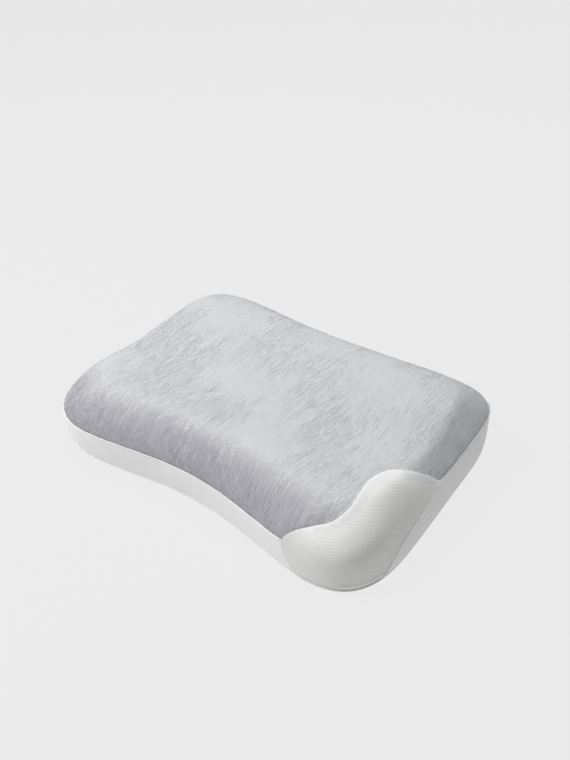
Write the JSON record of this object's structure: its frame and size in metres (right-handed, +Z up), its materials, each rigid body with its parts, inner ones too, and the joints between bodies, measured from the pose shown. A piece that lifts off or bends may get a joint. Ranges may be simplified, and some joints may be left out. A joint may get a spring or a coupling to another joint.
{
  "type": "contour neck pillow",
  "caption": "Contour neck-support pillow: moulded foam core with two rolls and a shoulder cut-out, sewn liner, zipped plush cover with plain side band and ribbed corner panel.",
  "frame": {"origin": "centre of the underside: the middle of the pillow's box in plan, at the face it rests on", "axes": "+X to the right along the long side, +Y from the hollowed front edge to the taller back roll, +Z up"},
  "size_m": [0.5826, 0.403, 0.1296],
  "materials": {
    "grey_plush": "short brushed plush pile, matte with a soft sheen",
    "ribbed_knit": "fine ribbed knit, matte",
    "white_band": "smooth close knit, matte",
    "underside_knit": "plain close knit, matte",
    "seam_welt": "turned welt of knit, matte",
    "label_satin": "blank woven satin",
    "liner_jersey": "thin jersey, matte",
    "memory_foam": "open-cell foam, matte",
    "zip_tape": "woven tape, matte",
    "zip_teeth": "moulded, satin",
    "zip_metal": "enamelled, satin"
  },
  "bodies": {
    "pillow": {"plush_top_panel": "grey_plush", "ribbed_corner_panel": "ribbed_knit", "front_band": "white_band", "right_band": "white_band", "back_band": "white_band", "left_band_upper": "white_band", "left_band_lower": "white_band", "bottom_panel": "underside_knit", "top_piping": "seam_welt", "bottom_piping": "seam_welt", "corner_curve_piping": "seam_welt", "corner_side_piping": "seam_welt", "care_label": "label_satin", "liner_top": "liner_jersey", "liner_bottom": "liner_jersey", "liner_seam": "liner_jersey", "foam_core": "memory_foam", "zip_tape_upper": "zip_tape", "zip_tape_lower": "zip_tape", "zip_teeth_upper": "zip_teeth", "zip_teeth_lower": "zip_teeth", "zip_top_stops": "zip_teeth", "zip_bottom_stop": "zip_teeth"},
    "slider": {"zip_slider": "zip_metal"},
    "pull": {"zip_pull": "zip_metal"}
  },
  "joints": [
    {"name": "zip_slide", "type": "slide", "parent": "pillow", "child": "slider", "axis": [0.1154, 0.9933, 0], "range_m": [0, 0.2], "deforming": ["zip_teeth_upper", "zip_teeth_lower"]},
    {"name": "pull_flip", "type": "hinge", "parent": "slider", "child": "pull", "pos_m": [-0.28961, -0.07737, 0.032], "axis": [0, 0, 1], "range_deg": [0, 175]}
  ]
}
